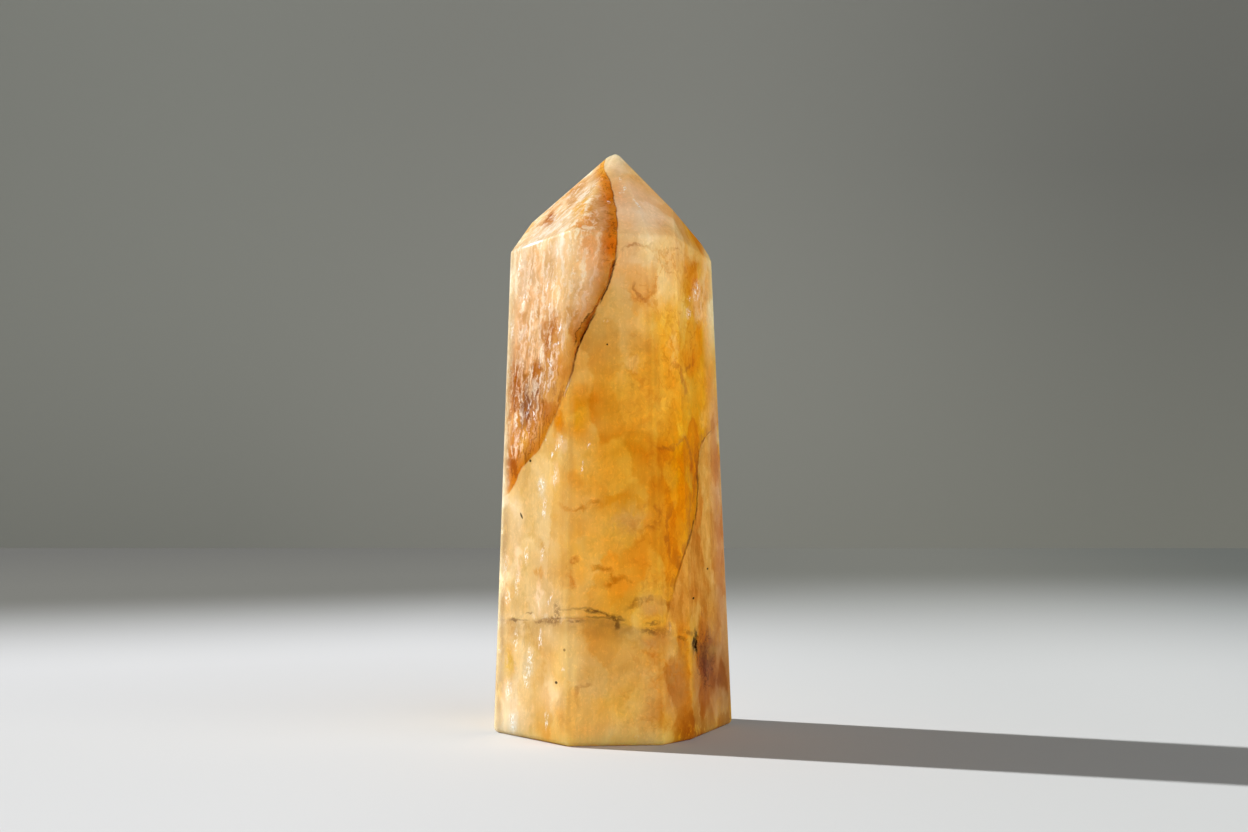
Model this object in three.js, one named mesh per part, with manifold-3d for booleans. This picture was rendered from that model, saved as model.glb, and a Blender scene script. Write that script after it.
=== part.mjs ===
// A golden healer quartz point: one stone, sawn and hand-polished into a tapering six-sided
// tower with a narrow seventh face along one front edge, a short natural-looking tip and a
// sawn flat base. An iron-stained healed fracture runs down the front, open at the surface
// as a notch, a lens-shaped chip and a hairline groove, and a small slit-shaped vug opens
// low on the right-hand face.
//
// Millimetres, +Z up, the front towards -Y. The origin is the middle of the flat base.

import * as THREE from 'three';
import { ConvexGeometry } from 'three/addons/geometries/ConvexGeometry.js';
import { mergeVertices } from 'three/addons/utils/BufferGeometryUtils.js';
import Module from 'manifold-3d';

const wasm = await Module();
wasm.setup();

// ---- Driving dimensions ----------------------------------------------------------------

// The tip, where the tip facets would meet if their edges weren't rounded.
const apex = new THREE.Vector3(-0.05, 0.5, 101.2);

// The polishing lap rounds every edge to this radius.
const edgeRadius = 1.0;

// Body faces. facing: the way the face looks, in degrees from +X towards +Y. reach: how far
// it stands from the axis at the base. lean: how far it leans in towards the tip, in degrees.
const bodyFaces = {
  front: { facing: -85.5, reach: 17.9, lean: 0.8 },
  frontBevel: { facing: -39, reach: 17.4, lean: 1.8 },
  right: { facing: -22, reach: 16.6, lean: 2.1 },
  backRight: { facing: 44.5, reach: 20.1, lean: 2.4 },
  back: { facing: 91, reach: 18.1, lean: 1.8 },
  backLeft: { facing: 149, reach: 17.0, lean: 2.4 },
  left: { facing: 219, reach: 17.95, lean: 0.9 },
};

// Tip facets. slope: how steeply the facet falls, in degrees from the horizontal. under: how
// far its plane passes inside the apex; the steep trim facet passes well outside it.
const tipFacets = {
  front: { facing: -81.5, slope: 43.3, under: 0 },
  frontBevel: { facing: -41.7, slope: 46.6, under: 0 },
  right: { facing: -2, slope: 46.3, under: 0.1 },
  rightTrim: { facing: -17.8, slope: 65, under: -5.2 },
  backRight: { facing: 46, slope: 47.5, under: 0.3 },
  back: { facing: 92, slope: 46, under: 0 },
  backLeft: { facing: 153.3, slope: 44.4, under: -0.2 },
  left: { facing: 210.4, slope: 45, under: 0.2 },
};

// The open fracture. Each length of it is sunk in one body face: where its middle is across
// (x) and up (z), how wide, long and deep it is, and how far its length tips from upright
// towards +X, in degrees.
const fractureOpenings = [
  { face: 'front', x: -0.1, z: 79.9, width: 1.2, length: 2.0, depth: 1.1, tip: 28 },
  { face: 'front', x: -1.5, z: 76.4, width: 0.5, length: 7.6, depth: 0.5, tip: 20 },
  { face: 'front', x: -4.4, z: 70.1, width: 1.1, length: 8.2, depth: 0.6, tip: 25 },
  { face: 'front', x: -6.3, z: 66.1, width: 0.7, length: 2.6, depth: 0.5, tip: 35 },
  { face: 'front', x: -6.9, z: 62.9, width: 0.5, length: 4.6, depth: 0.4, tip: 8 },
];

// The vug: a narrow slit in the right-hand face where the crystal grew round a gap.
const vug = { face: 'right', x: 13.9, z: 16.7, width: 1.3, length: 3.9, depth: 1.6, tip: 3 };

// Small pits that the lap broke out of the tip facets: centre and radius.
const tipPits = [
  { at: [-5.4, -9.7, 90.9], radius: 0.45 },
  { at: [-2.4, -5.8, 95.5], radius: 0.35 },
  { at: [-0.6, -10.1, 91.3], radius: 0.35 },
];

// ---- Helpers ---------------------------------------------------------------------------

// A closed three.js geometry as a solid that can be joined and cut.
function solid(geometry) {
  const bare = geometry.clone();
  bare.deleteAttribute('normal');
  bare.deleteAttribute('uv');
  const merged = mergeVertices(bare, 1e-4);
  return new wasm.Manifold(new wasm.Mesh({
    numProp: 3,
    vertProperties: merged.attributes.position.array,
    triVerts: new Uint32Array(merged.index.array),
  }));
}

// The corners of a solid, as points.
function corners(shape) {
  const mesh = shape.getMesh();
  const points = [];
  for (let i = 0; i < mesh.vertProperties.length; i += mesh.numProp) {
    points.push(new THREE.Vector3().fromArray(mesh.vertProperties, i));
  }
  return points;
}

// A solid as a three.js geometry with flat-shaded faces.
function asGeometry(shape) {
  const mesh = shape.getMesh();
  const geometry = new THREE.BufferGeometry();
  geometry.setAttribute('position', new THREE.Float32BufferAttribute(mesh.vertProperties, 3));
  geometry.setIndex(new THREE.Uint32BufferAttribute(mesh.triVerts, 1));
  return geometry;
}

// The outward direction of a plane that looks in the direction `facing` and falls away at
// `slope` degrees from the horizontal (90 is upright).
function outward(facing, slope) {
  const turn = THREE.MathUtils.degToRad(facing);
  const fall = THREE.MathUtils.degToRad(slope);
  return new THREE.Vector3(
    Math.sin(fall) * Math.cos(turn),
    Math.sin(fall) * Math.sin(turn),
    Math.cos(fall),
  );
}

// A body face or tip facet as a plane.
function bodyPlane({ facing, reach, lean }) {
  const normal = outward(facing, 90 - lean);
  const foot = outward(facing, 90).multiplyScalar(reach);
  return new THREE.Plane().setFromNormalAndCoplanarPoint(normal, foot);
}

function tipPlane({ facing, slope, under }) {
  const normal = outward(facing, slope);
  const point = apex.clone().addScaledVector(normal, -under);
  return new THREE.Plane().setFromNormalAndCoplanarPoint(normal, point);
}

// Everything on the inner side of a plane, as a block much larger than the stone.
function innerBlock(plane) {
  const size = 400;
  const block = new THREE.BoxGeometry(size, size, size).translate(0, 0, -size / 2);
  const up = new THREE.Vector3(0, 0, 1);
  block.applyQuaternion(new THREE.Quaternion().setFromUnitVectors(up, plane.normal));
  block.translate(...plane.coplanarPoint(new THREE.Vector3()));
  return solid(block);
}

// A plane moved towards the inside of the stone.
function movedIn(plane, distance) {
  return new THREE.Plane(plane.normal.clone(), plane.constant + distance);
}

// ---- The ground stone ------------------------------------------------------------------

const basePlane = new THREE.Plane(new THREE.Vector3(0, 0, -1), 0);
const facePlanes = Object.fromEntries(
  Object.entries(bodyFaces).map(([name, face]) => [name, bodyPlane(face)]),
);
const allPlanes = [
  basePlane,
  ...Object.values(facePlanes),
  ...Object.values(tipFacets).map(tipPlane),
];

// The faceted block with sharp edges, one edge radius smaller all round, carries a ball of
// that radius on every corner. The hull of the balls is the stone with its edges rounded.
function groundStone() {
  let block = solid(new THREE.BoxGeometry(80, 80, 240));
  for (const plane of allPlanes) {
    block = block.intersect(innerBlock(movedIn(plane, edgeRadius)));
  }
  const ballSteps = 16;
  const ball = new THREE.SphereGeometry(edgeRadius, ballSteps, ballSteps / 2);
  ball.rotateX(Math.PI / 2);
  const ballPoints = corners(solid(ball));
  const points = corners(block).flatMap(
    (corner) => ballPoints.map((offset) => corner.clone().add(offset)),
  );
  return solid(new ConvexGeometry(points));
}

// ---- What is sunk in it ----------------------------------------------------------------

// The point of a body face at a given place across and up.
function onFace(face, x, z) {
  const plane = facePlanes[face];
  const y = -(plane.constant + plane.normal.x * x + plane.normal.z * z) / plane.normal.y;
  return new THREE.Vector3(x, y, z);
}

// A pointed, boat-shaped cutter for one opening: an octahedron stretched to the opening's
// width and length, lying along the face with half its thickness sunk to the full depth.
function openingCutter({ face, x, z, width, length, depth, tip }) {
  const out = facePlanes[face].normal;
  const across = new THREE.Vector3(0, 0, 1).cross(out).normalize();
  const up = out.clone().cross(across);
  const cutter = new THREE.OctahedronGeometry(1, 0);
  cutter.scale(width / 2, depth, length / 2);
  cutter.rotateY(THREE.MathUtils.degToRad(tip));
  cutter.applyMatrix4(new THREE.Matrix4().makeBasis(across, out.clone().negate(), up));
  cutter.translate(...onFace(face, x, z));
  return solid(cutter);
}

function pitCutter({ at, radius }) {
  return solid(new THREE.IcosahedronGeometry(radius, 0).translate(...at));
}

let stone = groundStone();
for (const opening of [...fractureOpenings, vug]) {
  stone = stone.subtract(openingCutter(opening));
}
for (const pit of tipPits) {
  stone = stone.subtract(pitCutter(pit));
}

// ---- The part --------------------------------------------------------------------------

const geometry = asGeometry(stone);
geometry.computeBoundingBox();
const middle = geometry.boundingBox.getCenter(new THREE.Vector3());
geometry.translate(-middle.x, -middle.y, -geometry.boundingBox.min.z);
geometry.computeVertexNormals();

const goldenQuartz = new THREE.MeshStandardMaterial({
  name: 'golden healer quartz',
  color: 0xe0ad62,
  roughness: 0.22,
  metalness: 0,
});

const stoneMesh = new THREE.Mesh(geometry, goldenQuartz);
stoneMesh.name = 'quartz_point';

const group = new THREE.Group();
group.add(stoneMesh);

export default group;
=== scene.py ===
# Golden healer quartz point: the polished stone, its stage, lights and camera.

import math

import bmesh
import bpy
from mathutils import Matrix, Vector, noise


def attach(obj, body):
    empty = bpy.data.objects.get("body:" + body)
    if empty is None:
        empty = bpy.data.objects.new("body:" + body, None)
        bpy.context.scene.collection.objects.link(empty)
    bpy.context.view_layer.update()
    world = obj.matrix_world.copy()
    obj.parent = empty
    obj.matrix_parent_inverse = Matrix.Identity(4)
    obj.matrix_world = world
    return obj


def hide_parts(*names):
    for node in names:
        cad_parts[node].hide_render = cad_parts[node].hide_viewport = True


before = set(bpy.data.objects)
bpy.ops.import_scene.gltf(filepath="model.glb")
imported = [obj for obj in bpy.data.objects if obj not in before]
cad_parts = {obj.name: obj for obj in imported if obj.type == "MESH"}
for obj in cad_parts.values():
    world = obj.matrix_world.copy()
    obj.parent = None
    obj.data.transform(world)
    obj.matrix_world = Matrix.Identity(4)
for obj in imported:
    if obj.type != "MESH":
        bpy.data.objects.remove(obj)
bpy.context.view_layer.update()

MM = 0.001


# ======== The stone's form: millimetres and degrees ========================================

APEX = Vector((-0.05, 0.5, 101.2))
EDGE_RADIUS = 1.0

# Body faces: (facing from +X towards +Y, reach from the axis at the base, lean inwards).
BODY_FACES = {
    "front": (-85.5, 17.9, 0.8),
    "front_bevel": (-39, 17.4, 1.8),
    "right": (-22, 16.6, 2.1),
    "back_right": (44.5, 20.1, 2.4),
    "back": (91, 18.1, 1.8),
    "back_left": (149, 17.0, 2.4),
    "left": (219, 17.95, 0.9),
}

# Tip facets: (facing, slope from the horizontal, how far the plane passes inside the apex).
TIP_FACETS = {
    "front": (-81.5, 43.3, 0),
    "front_bevel": (-41.7, 46.6, 0),
    "right": (-2, 46.3, 0.1),
    "right_trim": (-17.8, 65, -5.2),
    "back_right": (46, 47.5, 0.3),
    "back": (92, 46, 0),
    "back_left": (153.3, 44.4, -0.2),
    "left": (210.4, 45, 0.2),
}


def outward(facing, slope):
    turn, fall = math.radians(facing), math.radians(slope)
    return Vector((
        math.sin(fall) * math.cos(turn),
        math.sin(fall) * math.sin(turn),
        math.cos(fall),
    ))


def face_plane(facing, reach, lean):
    return outward(facing, 90) * reach, outward(facing, 90 - lean)


def facet_plane(facing, slope, under):
    normal = outward(facing, slope)
    return APEX - normal * under, normal


def all_planes():
    """The base, the body faces and the tip facets: a point on each and its outward direction."""
    yield Vector((0, 0, 0)), Vector((0, 0, -1))
    for face in BODY_FACES.values():
        yield face_plane(*face)
    for facet in TIP_FACETS.values():
        yield facet_plane(*facet)


def cut_block(moved_in):
    """The sharp-edged block, with every face moved in by a distance."""
    bm = bmesh.new()
    bmesh.ops.create_cube(bm, size=240)
    for point, normal in all_planes():
        whole = bm.verts[:] + bm.edges[:] + bm.faces[:]
        cut = bmesh.ops.bisect_plane(
            bm, geom=whole, plane_co=point - normal * moved_in, plane_no=normal, clear_outer=True)
        rim = [item for item in cut["geom_cut"] if isinstance(item, bmesh.types.BMEdge)]
        bmesh.ops.holes_fill(bm, edges=rim, sides=0)
    return bm


def lapped_stone():
    """A small ball in each corner of the block, all wrapped in one skin: flats and round edges."""
    block = cut_block(EDGE_RADIUS)
    corners = [vert.co.copy() for vert in block.verts]
    block.free()
    bm = bmesh.new()
    for corner in corners:
        bmesh.ops.create_uvsphere(
            bm, u_segments=24, v_segments=12, radius=EDGE_RADIUS, matrix=Matrix.Translation(corner))
    bmesh.ops.delete(bm, geom=bm.edges[:], context="EDGES_FACES")
    skin = bmesh.ops.convex_hull(bm, input=bm.verts[:], use_existing_faces=False)
    inside = {item for item in skin["geom_interior"] if isinstance(item, bmesh.types.BMVert)}
    bmesh.ops.delete(bm, geom=list(inside), context="VERTS")
    bmesh.ops.remove_doubles(bm, verts=bm.verts[:], dist=0.02)
    bmesh.ops.dissolve_limit(bm, angle_limit=math.radians(0.5), verts=bm.verts[:], edges=bm.edges[:])
    return bm


# ======== Material helpers ==================================================================

SMOOTH = {"interpolation_type": "SMOOTHSTEP"}  # makes a map range ease in and out


def srgb(code):
    """A colour given as sRGB hex, as the linear values that Blender works in."""
    channels = [int(code[i:i + 2], 16) / 255 for i in (0, 2, 4)]
    return (*(c / 12.92 if c <= 0.04045 else ((c + 0.055) / 1.055) ** 2.4 for c in channels), 1)


def add(tree, kind, inputs=None, **settings):
    """A node with its settings. Each input is a value, a hex colour, or a node or socket to link."""
    node = tree.nodes.new("ShaderNode" + kind)
    for name, value in settings.items():
        setattr(node, name, value)
    for name, value in (inputs or {}).items():
        if isinstance(value, bpy.types.Node):
            value = next(socket for socket in value.outputs if socket.enabled)
        if isinstance(value, bpy.types.NodeSocket):
            tree.links.new(value, node.inputs[name])
        else:
            node.inputs[name].default_value = srgb(value) if isinstance(value, str) else value
    return node


def new_material(name):
    material = bpy.data.materials.new(name)
    material.use_nodes = True
    tree = material.node_tree
    return material, tree, tree.nodes["Principled BSDF"]


def laid_over(tree, below, above, mask, strength=1.0):
    """One colour laid over another where the mask shows."""
    amount = add(tree, "Math", {0: mask, 1: strength}, operation="MULTIPLY", use_clamp=True)
    return add(tree, "Mix", {0: amount, 6: below, 7: above}, data_type="RGBA")


def drifted(tree, place, size, distance, seed):
    """The place moved about by up to a distance, over lumps of a size, so that outlines wander."""
    start = add(tree, "VectorMath", {0: place, 1: (seed, 2 * seed, 3 * seed)}, operation="ADD")
    lumps = add(tree, "TexNoise", {"Vector": start, "Scale": 1 / size, "Detail": 3, "Roughness": 0.6})
    centred = add(tree, "VectorMath", {0: lumps.outputs["Color"], 1: (0.5, 0.5, 0.5)}, operation="SUBTRACT")
    return add(tree, "VectorMath", {0: centred, 1: (2 * distance,) * 3, 2: place}, operation="MULTIPLY_ADD")


def egg(tree, where, middle, half_sizes, lean=0):
    """An egg shape that leans to the right by degrees: 1 at its middle, 0 at its skin and beyond."""
    local = add(tree, "Mapping", {
        "Vector": where, "Location": middle, "Rotation": (0, math.radians(lean), 0), "Scale": half_sizes},
        vector_type="TEXTURE")
    return add(tree, "TexGradient", {"Vector": local}, gradient_type="SPHERICAL").outputs["Fac"]


def patch(tree, where, middle, half_sizes, lean=0, soft=0.55):
    """An egg-shaped patch with a soft edge: 1 inside, 0 outside."""
    return add(tree, "MapRange", {0: egg(tree, where, middle, half_sizes, lean), 1: 0, 2: soft}, **SMOOTH)


def spots(tree, where, places, soft=0.4):
    """Many small egg-shaped spots in one mask."""
    most = 0.0
    for middle, half_sizes, lean in places:
        shape = egg(tree, where, middle, half_sizes, lean)
        most = add(tree, "Math", {0: shape, 1: most}, operation="MAXIMUM")
    return add(tree, "MapRange", {0: most, 1: 0, 2: soft}, **SMOOTH)


def near(tree, distance, width):
    """1 along the line where a signed distance is 0, fading out to 0 at a width from it."""
    away = add(tree, "Math", {0: distance}, operation="ABSOLUTE")
    return add(tree, "MapRange", {0: away, 1: width, 2: width * 0.25}, **SMOOTH)


def ring(tree, where, middle, half_sizes, thickness):
    """The outline of an egg shape, as thick as that part of its radius."""
    twice = egg(tree, where, middle, [2 * size for size in half_sizes])
    return near(tree, add(tree, "Math", {0: twice, 1: -0.5}, operation="ADD"), thickness / 2)


def cotton(tree, where, size, low, high, stretch=1, detail=4, seed=0, lean=0):
    """Cottony lumps of a size, drawn out along a lean, from 0 below low to 1 above high."""
    local = add(tree, "Mapping", {
        "Vector": where, "Location": (7 * seed, 5 * seed, 3 * seed),
        "Rotation": (0, math.radians(lean), 0), "Scale": (size, size, size * stretch)},
        vector_type="TEXTURE")
    lumps = add(tree, "TexNoise", {"Vector": local, "Scale": 1, "Detail": detail, "Roughness": 0.62})
    return add(tree, "MapRange", {0: lumps.outputs[0], 1: low, 2: high}, **SMOOTH)


def relief(tree, where, size, detail, stretch, seed):
    """Lumps lit from the upper left: above 0 on their lit sides, below 0 on their far sides."""
    lit, far = (
        add(tree, "TexNoise", {
            "Vector": add(tree, "Mapping", {
                "Vector": where, "Location": [seed + s for s in shift],
                "Scale": (1 / size, 1 / size, 1 / size / stretch)}),
            "Scale": 1, "Detail": detail, "Roughness": 0.55})
        for shift in ((0, 0, 0), (-0.16, 0.10, 0.16)))
    return add(tree, "Math", {0: lit.outputs[0], 1: far.outputs[0]}, operation="SUBTRACT")


def overlap(tree, first, *others):
    """Where all the masks show."""
    for other in others:
        first = add(tree, "Math", {0: first, 1: other}, operation="MULTIPLY")
    return first


def toned(tree, along, stops):
    """A ramp of colours along a distance."""
    low, high = stops[0][0], stops[-1][0]
    part = add(tree, "MapRange", {"Value": along, "From Min": low, "From Max": high})
    ramp = add(tree, "ValToRGB", {0: part})
    for at, code in stops[1:-1]:
        ramp.color_ramp.elements.new((at - low) / (high - low))
    for element, (at, code) in zip(ramp.color_ramp.elements, stops):
        element.color = srgb(code)
    return ramp


def traced(tree, along, points):
    """What a line drawn through points reads as something goes along it."""
    low, high = points[0][0], points[-1][0]
    reach = max(abs(reading) for _, reading in points)
    part = add(tree, "MapRange", {0: along, 1: low, 2: high})
    line = add(tree, "FloatCurve", {"Value": part})
    curve = line.mapping.curves[0]
    for point in points[1:-1]:
        curve.points.new((point[0] - low) / (high - low), 0.5)
    for spot, (at, reading) in zip(curve.points, points):
        spot.location = ((at - low) / (high - low), 0.5 + 0.5 * reading / reach)
        spot.handle_type = "AUTO"
    line.mapping.update()
    return add(tree, "Math", {0: line, 1: 2 * reach, 2: -reach}, operation="MULTIPLY_ADD")


# ======== The stone's colours and inner features: places and sizes in millimetres ===========

MILK = "E2CA9E"
CREAM = "FCD9AC"
STRAW = "DCBC80"
PALE_HONEY = "F0C878"
SAND = "E0B264"
HONEY = "EAB23E"
GOLD = "E2A22A"
AMBER = "DF9200"
DEEP_AMBER = "D68200"
TAN = "D4A050"
TOFFEE = "BC7E42"
ORANGE = "CC8416"
RUST = "B46E22"
DARK_RUST = "8E5218"
MAUVE = "9C7560"
PLUM = "84503A"
UMBER = "643818"
SOOT = "2E1C0E"
WHITE = "FFFFFF"

QUARTZ_IOR = 1.544
GLOW_DEPTH = 10  # how far light spreads inside the stone

# Soft clouds in the body: colour, middle and half sizes, strength.
BODY_CLOUDS = [
    (SAND, (0, -17, 70), (10, 9, 12), 0.8),
    ("EEC88E", (5, -15, 81), (14, 12, 10), 0.8),
    (GOLD, (-3, -17, 57), (7, 8, 4), 0.7),
    (AMBER, (3, -17, 50), (12, 10, 6), 0.6),
    (GOLD, (0, -17, 44), (14, 10, 8), 0.5),
    (AMBER, (-6.5, -17, 55), (4.5, 8, 8), 0.9),
    (AMBER, (0, -17, 46), (10, 9, 9), 0.5),
    (HONEY, (8, -14, 62), (6, 9, 9), 0.8),
    (AMBER, (12, -10, 46), (7, 9, 16), 0.9),
    (DEEP_AMBER, (13, -10, 54), (3, 9, 5), 0.5),
    (DEEP_AMBER, (10, -12, 36), (3, 9, 10), 0.5),
    (PALE_HONEY, (8.3, -13.5, 78), (2.2, 6, 7), 0.5),
    (AMBER, (7.6, -14, 70), (1.6, 6, 7), 0.5),
    (SAND, (13, -3, 84.0), (4, 7, 4), 0.8),
    (HONEY, (13, -5, 70), (4, 7, 8), 0.7),
    ("DC8C10", (18, -3, 62), (5, 9, 16), 0.8),
    (PALE_HONEY, (-10, -15, 45.5), (4.5, 7, 8), 0.3),
    (MILK, (-18, -6, 34), (3.4, 9, 11), 0.7),
    (STRAW, (-13, -10, 28), (5, 7, 7), 0.6),
    ("F2BA4C", (-3, -17, 33), (9, 8, 7), 0.8),
    ("F2B23C", (3, -17, 28.5), (8, 8, 5), 0.7),
    (TOFFEE, (7.6, -17, 23.0), (5, 6, 2.0), 0.6),
    (TOFFEE, (7.2, -17, 18.0), (4, 6, 2.8), 0.7),
    (TOFFEE, (6.5, -17, 6), (4.5, 7, 6), 0.6),
    # below the level crack
    (SAND, (-2, -17, 13), (14, 12, 10), 0.8),
    (STRAW, (-17, -7, 13), (4.5, 9, 8), 0.8),
    (PALE_HONEY, (-9, -17, 13), (5, 7, 8), 0.5),
    (TAN, (8, -17, 11), (6, 9, 9), 0.7),
    (TOFFEE, (15, -6, 9), (8, 9, 12), 0.9),
    (MILK, (-17, -7, 4), (5, 9, 5), 0.5),
    ("F0D4AC", (-17, -7, 4), (5, 9, 9), 0.9),
    ("F0D8A8", (-15.6, -9, 13), (2.5, 8, 12), 0.7),
    ("CC9C60", (-11.4, -13, 22), (3, 8, 20), 0.6),
    (TOFFEE, (10.5, -14, 9), (5, 8, 10), 0.7),
    ("A8682E", (19, 0, 8), (8, 12, 14), 0.95),
    (CREAM, (-11, -15, 7), (5, 7, 5), 0.4),
    # painted glow: the foot brighter at the front
    ("F0B058", (-1, -18, 2), (13, 8, 6), 0.95),
    # the milky tip
    ("F2CCA0", (4, -9, 90), (13, 16, 15), 0.95),
    ("DDB890", (0, -1, 99), (5, 10, 5), 0.8),
    ("E6B878", (10, -9, 86), (5, 9, 7), 0.7),
    (SAND, (7, -13, 82), (6, 8, 4), 0.6),
]

# Smaller marks with feathery edges: colour, middle and half sizes, strength.
BODY_MARKS = [
    (AMBER, (-8.5, -16, 54), (4.5, 6, 2.6), 0.8),
    (ORANGE, (14.3, -1, 80.6), (2.2, 5, 1.3), 0.9),
    (CREAM, (14.6, -1, 75.0), (3.0, 7, 6.0), 0.4),
    (PALE_HONEY, (11.0, -9, 73.0), (2.4, 6, 6.0), 0.25),
    ("ECA83A", (15.7, 0, 54.5), (2.0, 5, 2.8), 0.8),
    (PALE_HONEY, (10.0, -12, 66), (1.4, 5, 4.4), 0.6),
    (PALE_HONEY, (3.4, -17, 63.5), (2.4, 6, 1.6), 0.5),
    (MILK, (-12.0, -12, 42.5), (1.3, 5, 2.8), 0.8),
    (CREAM, (-9.8, -15.4, 45), (0.9, 5, 3.0), 0.5),
    (CREAM, (-8.8, -16, 50.2), (1.8, 5, 2.0), 0.5),
    (AMBER, (-3.2, -17, 57.6), (1.8, 4, 1.2), 0.5),
    ("DEA654", (2.5, -17.3, 37.6), (5.0, 6, 3.4), 0.7),
    (MILK, (-14.6, -10, 12.0), (1.4, 5, 5.0), 0.7),
    ("DDB44C", (-18, -5, 12.3), (1.2, 5, 3.4), 0.8),
    (ORANGE, (-12.7, -12, 28.5), (1.1, 4, 1.2), 0.7),
    (TAN, (12.6, -8, 86.5), (3.6, 6, 4.0), 0.8),
    (CREAM, (-18.8, -4, 27), (1.4, 6, 7), 0.9),
    (CREAM, (-16.4, -8, 30), (0.9, 6, 5), 0.6),
    (CREAM, (-12.6, -12, 24.5), (0.8, 6, 4), 0.6),
    (CREAM, (-18.6, -5, 5), (1.6, 6, 6), 0.7),
    (PALE_HONEY, (-3.5, -17, 10), (1.4, 6, 7), 0.4),
    (HONEY, (2.6, -17, 30), (4.0, 6, 2.4), 0.6),
]

# Curling threads of iron stain, each part of an egg shape's outline that shows inside a patch:
# colour, egg's middle and half sizes, thickness, patch's middle and half sizes, strength.
THREADS = [
    ("C87A14", (-5.2, -18, 28.4), (2.2, 9, 2.8), 0.22, (-7.0, -18, 29.2), (2.0, 9, 3.6), 0.95),
    ("D08818", (-2.8, -18, 27.4), (2.8, 9, 2.4), 0.20, (-1.6, -18, 29.0), (3.4, 9, 2.2), 0.9),
    ("D08818", (1.0, -18, 24.8), (2.6, 9, 2.8), 0.20, (0.8, -18, 27.4), (3.4, 9, 1.8), 0.9),
    (DARK_RUST, (6.0, -18, 19.2), (5.6, 12, 5.2), 0.08, (6.8, -18, 24), (6, 12, 3.4), 0.8),
    (AMBER, (1.2, -18, 36.6), (5.0, 10, 4.6), 0.16, (0.4, -18, 41), (7, 10, 3.0), 0.5),
    (RUST, (5.9, -17, 38.2), (1.7, 9, 2.4), 0.26, (6.6, -17, 38), (2.4, 9, 3), 0.8),
    (ORANGE, (-8.2, -18, 42.6), (6.2, 9, 3.2), 0.10, (-5.6, -18, 40.2), (5, 9, 1.8), 0.7),
    (RUST, (11.2, -11, 47), (2.2, 8, 4.4), 0.14, (12.6, -11, 49), (2.6, 8, 4.6), 0.8),
    (RUST, (9.4, -13, 59), (3.2, 8, 4.6), 0.10, (11.4, -12, 60.5), (3, 8, 4.4), 0.7),
    (RUST, (8.6, -14, 52), (3.6, 8, 2.6), 0.10, (9.6, -14, 50.2), (4, 8, 1.8), 0.7),
    (RUST, (10.4, -12, 35), (1.6, 8, 5.4), 0.16, (9.4, -12, 35), (1.8, 8, 6), 0.7),
    (RUST, (12.0, -9, 66), (2.4, 8, 3.2), 0.12, (12.6, -9, 64), (3, 8, 3), 0.7),
    (TOFFEE, (4.4, -14, 80.6), (4.2, 8, 3.0), 0.10, (3.6, -15, 83.4), (4, 8, 2.4), 0.7),
    (TOFFEE, (6.2, -14, 77), (3.0, 8, 3.4), 0.09, (4.2, -15, 75), (4, 8, 2.6), 0.6),
    (TOFFEE, (10.4, -9, 81.6), (2.4, 8, 1.4), 0.14, (9.6, -9, 82.6), (2.6, 8, 1.6), 0.6),
    (RUST, (-3.6, -16, 8.0), (3.2, 9, 2.6), 0.12, (-5.4, -16, 9.4), (3, 9, 3), 0.5),
]

# Iron stain and milk in the healed fracture at the left, and two painted highlights at its left edge:
# colour, middle and half sizes, strength.
VEIL_MARKS = [
    ("D8BE9C", (-16, -6, 80), (7, 9, 9), 0.8),
    ("D2B898", (-18.6, -4, 70), (3.0, 8, 12), 0.8),
    ("F0CE9C", (-8, -15, 77), (6, 8, 7), 0.8),
    ("E0BC90", (-12, -8, 87), (5, 9, 4), 0.8),
    ("C88838", (-7.5, -4, 95), (3.6, 9, 4.6), 0.8),
    ("DC9A48", (-4.6, -12, 86), (3.0, 8, 7), 0.7),
    ("E6C49A", (-8, -12, 83), (4, 8, 4), 0.7),
    ("C47C28", (-9.4, -15, 64), (4.0, 7, 7), 0.7),
    ("C07422", (-12.4, -13, 52), (4.4, 7, 8), 0.8),
    ("DE963A", (-16, -8, 47), (5, 7, 7), 0.9),
    ("B86C1C", (-15.7, -8, 50.5), (3.0, 6, 5.5), 0.95),
    ("B87028", (-12.4, -12, 61.4), (3.0, 7, 4), 0.7),
    (MAUVE, (-14.2, -10, 57.6), (2.2, 6, 5.0), 0.8),
    (PLUM, (-15.2, -8, 55.4), (1.1, 5, 3.2), 0.8),
    (PLUM, (-13.2, -10.5, 58.4), (0.8, 5, 2.8), 0.7),
    (CREAM, (-14.3, -9.6, 60.0), (0.6, 5, 3.6), 0.8),
    (CREAM, (-12.2, -11.6, 65.0), (0.8, 5, 3.0), 0.6),
    (RUST, (-16.9, -6.6, 59.5), (1.6, 5, 8.0), 0.95),
    ("C0782C", (-10.5, -13.5, 67), (2.4, 6, 7), 0.7),
    (HONEY, (-15.4, -8.4, 49.5), (1.4, 6, 4.0), 0.5),
    (GOLD, (-5.4, -11, 90), (2.6, 7, 3.4), 0.6),
    ("B06420", (-11.0, -4.5, 88.4), (1.5, 5, 4.6), 1.0),
    # Painted highlights: white streaks along the left edge.
    ("FFF6E6", (-19.2, -3.6, 60), (1.1, 6, 9), 1.0),
    ("FFF6E6", (-18.8, -4.2, 46.6), (0.8, 6, 5.4), 0.9),
]
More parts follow.
